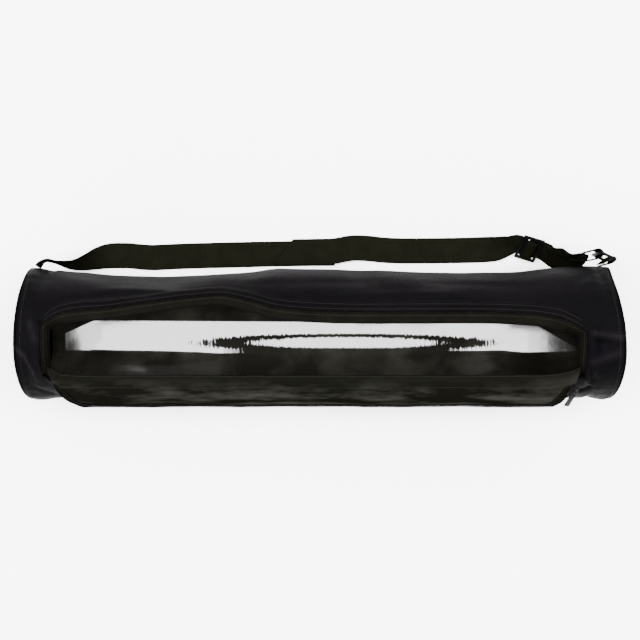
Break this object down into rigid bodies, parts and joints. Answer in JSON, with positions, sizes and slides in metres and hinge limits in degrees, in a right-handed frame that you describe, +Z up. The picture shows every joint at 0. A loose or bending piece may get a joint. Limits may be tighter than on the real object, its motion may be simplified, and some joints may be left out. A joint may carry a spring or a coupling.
{
  "type": "yoga mat bag",
  "caption": "Black nylon yoga mat bag lying open: a round tube with a long zipped opening, its flap folded down, and a webbing carrying strap.",
  "frame": {"origin": "middle of the footprint of the bag and its strap, on the surface that the bag lies on", "axes": "+X along the bag towards the ring end, +Y away from the flap towards the strap, +Z up"},
  "size_m": [0.6894, 0.2112, 0.1504],
  "materials": {
    "black_nylon": "woven nylon with a soft sheen outside and a glossy coating inside",
    "end_nylon": "woven nylon, piped seam",
    "black_tape": "herringbone zip tape",
    "black_coil": "nylon coil",
    "black_webbing": "ribbed webbing",
    "black_plastic": "satin moulded plastic",
    "black_metal": "black enamelled zinc"
  },
  "bodies": {
    "root": {"body": "black_nylon", "front_flap": "black_nylon", "end_panel_left": "end_nylon", "end_panel_right": "end_nylon", "piping_left": "end_nylon", "piping_right": "end_nylon", "zipper_tape_body": "black_tape", "zipper_coil_body": "black_coil", "zipper_tape_flap": "black_tape", "zipper_coil_flap": "black_coil", "zipper_slider": "black_metal", "zipper_pull": "black_metal", "strap": "black_webbing", "strap_adjuster": "black_plastic", "strap_ring": "black_plastic", "ring_tab": "black_webbing"}
  },
  "joints": []
}
